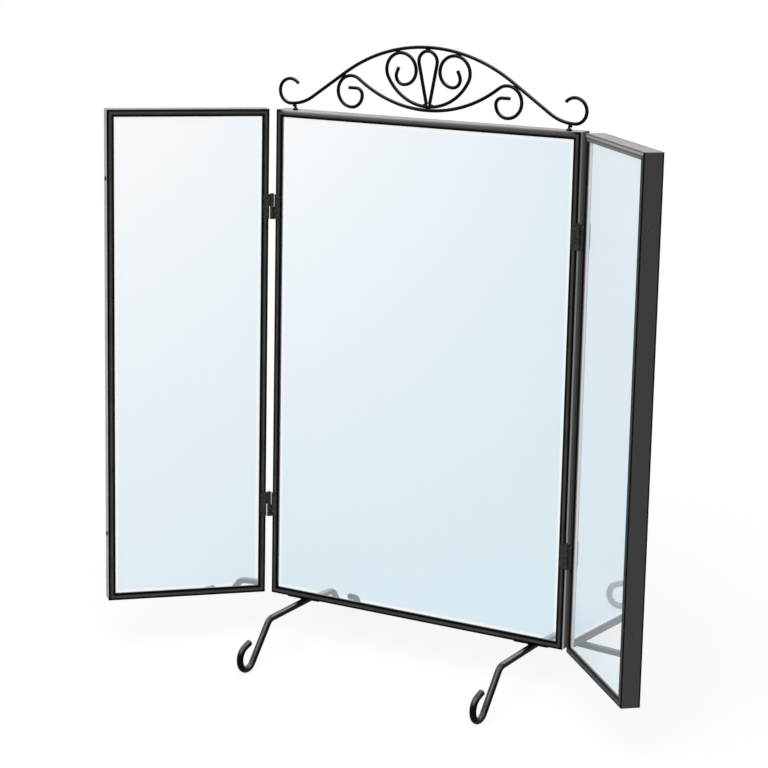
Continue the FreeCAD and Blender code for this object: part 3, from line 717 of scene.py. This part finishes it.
def cut(base, tool):
    """One mesh less another, as a new mesh."""
    pair = [bpy.data.objects.new(mesh.name, mesh) for mesh in (base, tool)]
    for item in pair:
        bpy.context.scene.collection.objects.link(item)
    modifier = pair[0].modifiers.new("recess", "BOOLEAN")
    modifier.operation = "DIFFERENCE"
    modifier.solver = "EXACT"
    modifier.use_self = True
    modifier.object = pair[1]
    graph = bpy.context.evaluated_depsgraph_get()
    result = bpy.data.meshes.new_from_object(pair[0].evaluated_get(graph))
    for item in pair:
        bpy.data.objects.remove(item)
    return result


def islands(mesh):
    """The separate solids of a mesh from left to right, each as a list of points."""
    shell = bmesh.new()
    shell.from_mesh(mesh)
    bmesh.ops.remove_doubles(shell, verts=shell.verts, dist=WELD_REACH)
    waiting = set(shell.verts)
    found = []
    while waiting:
        border = [waiting.pop()]
        points = []
        while border:
            vertex = border.pop()
            points.append(vertex.co.copy())
            reached = {link.other_vert(vertex) for link in vertex.link_edges} & waiting
            waiting -= reached
            border.extend(reached)
        found.append(points)
    shell.free()
    return sorted(found, key=lambda points: min(map(tuple, points)))


def detailed_screw(points, axis, turn):
    """A screw with a recess, as large as the plain one with these points, with its head along the axis."""
    side = axis.orthogonal().normalized()
    other = axis.cross(side)
    centre = side * middle_along(points, side) + other * middle_along(points, other)
    reaches = [point.dot(axis) for point in points]
    radii = [(point - centre - axis * reach).length for point, reach in zip(points, reaches)]
    head_radius = max(radii)
    seat = min(reach for reach, radius in zip(reaches, radii) if radius > head_radius * HEAD_EDGE_SHARE)
    shank_radius = max(radius for reach, radius in zip(reaches, radii) if reach < seat - WELD_REACH)
    head_height = max(reaches) - seat
    profile = screw_profile(shank_radius, seat - min(reaches), head_radius, head_height)
    mesh = cut(turned(profile, "screw"), cross_recess(head_radius, head_height, "recess"))
    upright = Z_AXIS.rotation_difference(axis).to_matrix().to_4x4()
    mesh.transform(Matrix.Translation(centre + axis * seat) @ upright @ Matrix.Rotation(turn, 4, "Z"))
    return mesh


def detail_screws(node, body, axis, middle=-math.inf):
    """Puts detailed screws in the place of a node's plain ones, each turned as it was driven.

    A head looks along the axis where its screw lies past the middle, and the other way where it doesn't.
    """
    meshes = []
    for points in islands(frame["nodes"][node].data):
        outward = axis if middle_along(points, axis) > middle else -axis
        meshes.append(detailed_screw(points, outward, len(meshes) * DRIVEN_TURN))
    paint = screw_paint(f"{node}_paint", axis)
    piece = add_piece(f"{node}_recessed", join(meshes, node), body, paint)
    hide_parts(node)


def weld_bead(centre, along, length, radius):
    """A rippled bead of weld: a long drop with the steps of the melt, a little uneven."""
    shell = bmesh.new()
    side = along.orthogonal().normalized()
    around = spokes(BEAD_SIDES, side, along.cross(side))
    rings = []
    for step in range(1, BEAD_STEPS):
        share = 2 * step / BEAD_STEPS - 1
        place = centre + along * share * length / 2
        ripple = 1 + RIPPLE_SHARE * math.cos(share * length / RIPPLE_PITCH * math.pi)
        swell = math.sqrt(1 - share**2) * ripple
        ring = []
        for spoke in around:
            uneven = 1 + UNEVEN_SHARE * noise.noise((place + spoke * radius) / RIPPLE_PITCH)
            ring.append(shell.verts.new(place + spoke * radius * swell * uneven))
        rings.append(ring)
    tips = [shell.verts.new(centre + along * sign * length / 2) for sign in (-1, 1)]
    skin(shell, rings, *tips)
    return to_mesh(shell, "bead")


def add_beads(name, beads):
    mesh = join(beads, name)
    mesh.shade_smooth()
    add_piece(name, mesh, "centre", FINISHES["rod_steel"])


def surface_of(node):
    faces = [tuple(face.vertices) for face in frame["nodes"][node].data.polygons]
    return BVHTree.FromPolygons(points_of(node), faces)


def touching(first, second, side):
    """The place on a side where one rod comes nearest to another, and the way along the seam."""
    surface = surface_of(second)
    nearest = None
    for vertex in frame["nodes"][first].data.vertices:
        if vertex.co.x * side >= 0:
            place, normal, _, gap = surface.find_nearest(vertex.co)
            if nearest is None or gap < nearest[0]:
                nearest = (gap, (vertex.co + place) / 2, vertex.normal - normal)
    _, place, across = nearest
    return place, Vector((across.z, 0, -across.x)).normalized()


def weld_finial():
    """Beads in the seams where the rods of the finial touch."""
    beads = []
    for first, second, side in FINIAL_SEAMS:
        place, along = touching(first, second, side)
        beads.append(weld_bead(place, along, FINIAL_BEAD_LENGTH, FINIAL_BEAD_RADIUS))
    add_beads("finial_weld_beads", beads)


def weld_leg(side_name):
    """Beads on both sides of a leg's rod, along the plate that is welded on it."""
    points = points_of(f"{side_name}_leg")
    middle = middle_along(points, X_AXIS)
    plate = [point for point in points if abs(point.x - middle) > LEG_ROD_CLEAR]
    along = PANELS["centre"].front
    back, front = span(plate, along)
    level, _ = span(plate, UP)
    centre = along * (back + front) / 2 + UP * (level - LEG_BEAD_DROP)
    beads = []
    for sign in (-1, 1):
        aside = X_AXIS * (middle + sign * LEG_BEAD_ASIDE)
        beads.append(weld_bead(centre + aside, along, front - back, LEG_BEAD_RADIUS))
    add_beads(f"{side_name}_leg_weld_beads", beads)


# Stage


def shown_to_eye(nodes):
    """One for camera, glossy and transmission rays, and zero for the rest."""
    path = nodes.add("ShaderNodeLightPath").outputs
    return nodes.largest(path["Is Camera Ray"], path["Is Glossy Ray"], path["Is Transmission Ray"])


def make_floor():
    """A white floor that is bright to the eye and keeps the object's shadow."""
    bpy.ops.mesh.primitive_plane_add(size=2 * FLOOR_HALF)
    floor = bpy.context.object
    floor.name = "floor"
    material, nodes = new_material("floor")
    glow = nodes.add("ShaderNodeEmission", {"Color": WHITE, "Strength": FLOOR_GLOW})
    shade = nodes.add("ShaderNodeBsdfDiffuse", {"Color": (FLOOR_SHADE,) * 3})
    bounce = nodes.add("ShaderNodeBsdfDiffuse", {"Color": (FLOOR_BOUNCE,) * 3})
    bright = nodes.add("ShaderNodeAddShader", {0: glow.outputs[0], 1: shade.outputs[0]})
    mixed = {0: shown_to_eye(nodes), 1: bounce.outputs[0], 2: bright.outputs[0]}
    surface = nodes.add("ShaderNodeMixShader", mixed)
    nodes.add("ShaderNodeOutputMaterial", {"Surface": surface.outputs[0]})
    floor.data.materials.append(material)


def light_stage():
    """A white room that lights the object evenly, and one soft sun."""
    world = bpy.data.worlds.new("studio")
    world.use_nodes = True
    nodes = Nodes(world.node_tree)
    strength = nodes.ramp(shown_to_eye(nodes), 0.0, 1.0, AMBIENT, 1.0)
    back = nodes.add("ShaderNodeBackground", {"Color": WHITE, "Strength": strength})
    nodes.add("ShaderNodeOutputWorld", {"Surface": back.outputs[0]})
    bpy.context.scene.world = world
    sun = bpy.data.objects.new("soft_sun", bpy.data.lights.new("soft_sun", "SUN"))
    sun.data.energy = SUN_STRENGTH
    sun.data.angle = math.radians(SUN_SOFTNESS)
    sun.rotation_euler = [math.radians(turn) for turn in SUN_TURN]
    bpy.context.scene.collection.objects.link(sun)


def make_camera():
    data = bpy.data.cameras.new("camera")
    data.sensor_width = SENSOR_MM
    data.lens = LENS_MM
    camera = bpy.data.objects.new("camera", data)
    camera.location = CAMERA_PLACE
    camera.rotation_euler = (math.radians(90 - CAMERA_ELEVATION), 0, math.radians(CAMERA_AZIMUTH))
    bpy.context.scene.collection.objects.link(camera)
    bpy.context.scene.camera = camera


dress_nodes()
for panel_name, panel in PANELS.items():
    detail_screws(f"{panel_name}_clip_screws", panel_name, panel.across, panel.middle)
detail_screws("leg_screws", "centre", -UP)
weld_finial()
weld_leg("left")
weld_leg("right")
make_floor()
light_stage()
make_camera()
bpy.context.scene.view_settings.view_transform = "Standard"
